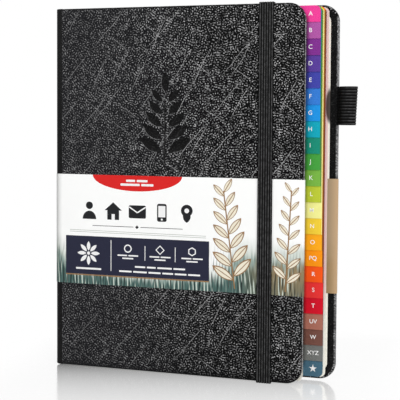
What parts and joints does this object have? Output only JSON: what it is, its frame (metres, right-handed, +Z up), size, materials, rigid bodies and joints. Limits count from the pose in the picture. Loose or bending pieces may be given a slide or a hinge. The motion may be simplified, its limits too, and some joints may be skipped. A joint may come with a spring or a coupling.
{
  "type": "address book",
  "caption": "Hardcover address book with step-cut coloured index tabs past a narrower front cover, a paper belly band, an elastic closing strap and a pen loop.",
  "frame": {"origin": "under the middle of the whole closed book, on the surface that it stands on", "axes": "+Z up along the book's height, +X from the spine to the fore edge, +Y from the front cover to the back cover"},
  "size_m": [0.1774, 0.0184, 0.2147],
  "materials": {
    "leatherette": "matt black leatherette with a fine scratched grain",
    "grey_board": "raw grey board",
    "endpaper": "uncoated cream paper",
    "end_band": "woven black cotton",
    "band_paper": "printed satin paper",
    "elastic": "ribbed black elastic",
    "tab_a": "cream paper with a printed index strip",
    "tab_b": "cream paper with a printed index strip",
    "tab_c": "cream paper with a printed index strip",
    "tab_d": "cream paper with a printed index strip",
    "tab_e": "cream paper with a printed index strip",
    "tab_f": "cream paper with a printed index strip",
    "tab_g": "cream paper with a printed index strip",
    "tab_h": "cream paper with a printed index strip",
    "tab_i": "cream paper with a printed index strip",
    "tab_j": "cream paper with a printed index strip",
    "tab_k": "cream paper with a printed index strip",
    "tab_l": "cream paper with a printed index strip",
    "tab_m": "cream paper with a printed index strip",
    "tab_n": "cream paper with a printed index strip",
    "tab_o": "cream paper with a printed index strip",
    "tab_pq": "cream paper with a printed index strip",
    "tab_r": "cream paper with a printed index strip",
    "tab_s": "cream paper with a printed index strip",
    "tab_t": "cream paper with a printed index strip",
    "tab_uv": "cream paper with a printed index strip",
    "tab_w": "cream paper with a printed index strip",
    "tab_xyz": "cream paper with a printed index strip",
    "tab_star": "cream paper with a printed index strip"
  },
  "bodies": {
    "back_cover": {"back_cover_wrap": "leatherette", "back_board": "grey_board", "back_pastedown": "endpaper", "back_flyleaf": "endpaper", "band_back": "band_paper", "strap_ends": "elastic", "pen_loop": "elastic", "leaves_xyz": "tab_xyz", "leaves_star": "tab_star"},
    "spine": {"spine_wrap": "leatherette", "spine_board": "grey_board", "spine_lining": "endpaper", "head_band": "end_band", "tail_band": "end_band", "band_spine": "band_paper"},
    "front_cover": {"front_cover_wrap": "leatherette", "front_board": "grey_board", "front_pastedown": "endpaper", "band_front": "band_paper"},
    "strap": {"elastic_strap": "elastic"},
    "leaves_group_1": {"front_flyleaf": "endpaper", "leaves_a": "tab_a", "leaves_b": "tab_b", "leaves_c": "tab_c"},
    "leaves_group_2": {"leaves_d": "tab_d", "leaves_e": "tab_e", "leaves_f": "tab_f"},
    "leaves_group_3": {"leaves_g": "tab_g", "leaves_h": "tab_h", "leaves_i": "tab_i"},
    "leaves_group_4": {"leaves_j": "tab_j", "leaves_k": "tab_k", "leaves_l": "tab_l"},
    "leaves_group_5": {"leaves_m": "tab_m", "leaves_n": "tab_n", "leaves_o": "tab_o"},
    "leaves_group_6": {"leaves_pq": "tab_pq", "leaves_r": "tab_r", "leaves_s": "tab_s"},
    "leaves_group_7": {"leaves_t": "tab_t", "leaves_uv": "tab_uv", "leaves_w": "tab_w"}
  },
  "joints": [
    {"name": "front_cover_hinge", "type": "hinge", "parent": "spine", "child": "front_cover", "pos_m": [-0.08777, -0.00742, 0], "axis": [0, 0, -1], "range_deg": [0, 90]},
    {"name": "spine_hinge", "type": "hinge", "parent": "back_cover", "child": "spine", "pos_m": [-0.08777, 0.00767, 0], "axis": [0, 0, -1], "range_deg": [0, 90]},
    {"name": "strap_release", "type": "slide", "parent": "back_cover", "child": "strap", "axis": [0, 1, 0], "range_m": [0, 0.0185], "deforming": ["elastic_strap"]},
    {"name": "leaves_turn_7", "type": "hinge", "parent": "back_cover", "child": "leaves_group_7", "pos_m": [-0.08568, 0.00449, 0], "axis": [0, 0, -1], "range_deg": [0, 24]},
    {"name": "leaves_turn_6", "type": "hinge", "parent": "leaves_group_7", "child": "leaves_group_6", "pos_m": [-0.08568, 0.00312, 0], "axis": [0, 0, -1], "range_deg": [0, 24]},
    {"name": "leaves_turn_5", "type": "hinge", "parent": "leaves_group_6", "child": "leaves_group_5", "pos_m": [-0.08568, 0.00173, 0], "axis": [0, 0, -1], "range_deg": [0, 24]},
    {"name": "leaves_turn_4", "type": "hinge", "parent": "leaves_group_5", "child": "leaves_group_4", "pos_m": [-0.08568, 0.00036, 0], "axis": [0, 0, -1], "range_deg": [0, 24]},
    {"name": "leaves_turn_3", "type": "hinge", "parent": "leaves_group_4", "child": "leaves_group_3", "pos_m": [-0.08568, -0.00103, 0], "axis": [0, 0, -1], "range_deg": [0, 24]},
    {"name": "leaves_turn_2", "type": "hinge", "parent": "leaves_group_3", "child": "leaves_group_2", "pos_m": [-0.08568, -0.00241, 0], "axis": [0, 0, -1], "range_deg": [0, 24]},
    {"name": "leaves_turn_1", "type": "hinge", "parent": "leaves_group_2", "child": "leaves_group_1", "pos_m": [-0.08568, -0.00379, 0], "axis": [0, 0, -1], "range_deg": [0, 24]}
  ],
  "couplings": [
    {"joint": "spine_hinge", "follows": "front_cover_hinge", "ratio": 1},
    {"joint": "strap_release", "follows": "front_cover_hinge", "m_per_rad": 0.011777},
    {"joint": "leaves_turn_7", "follows": "front_cover_hinge", "ratio": 0.26667},
    {"joint": "leaves_turn_6", "follows": "front_cover_hinge", "ratio": 0.26667},
    {"joint": "leaves_turn_5", "follows": "front_cover_hinge", "ratio": 0.26667},
    {"joint": "leaves_turn_4", "follows": "front_cover_hinge", "ratio": 0.26667},
    {"joint": "leaves_turn_3", "follows": "front_cover_hinge", "ratio": 0.26667},
    {"joint": "leaves_turn_2", "follows": "front_cover_hinge", "ratio": 0.26667},
    {"joint": "leaves_turn_1", "follows": "front_cover_hinge", "ratio": 0.26667}
  ]
}
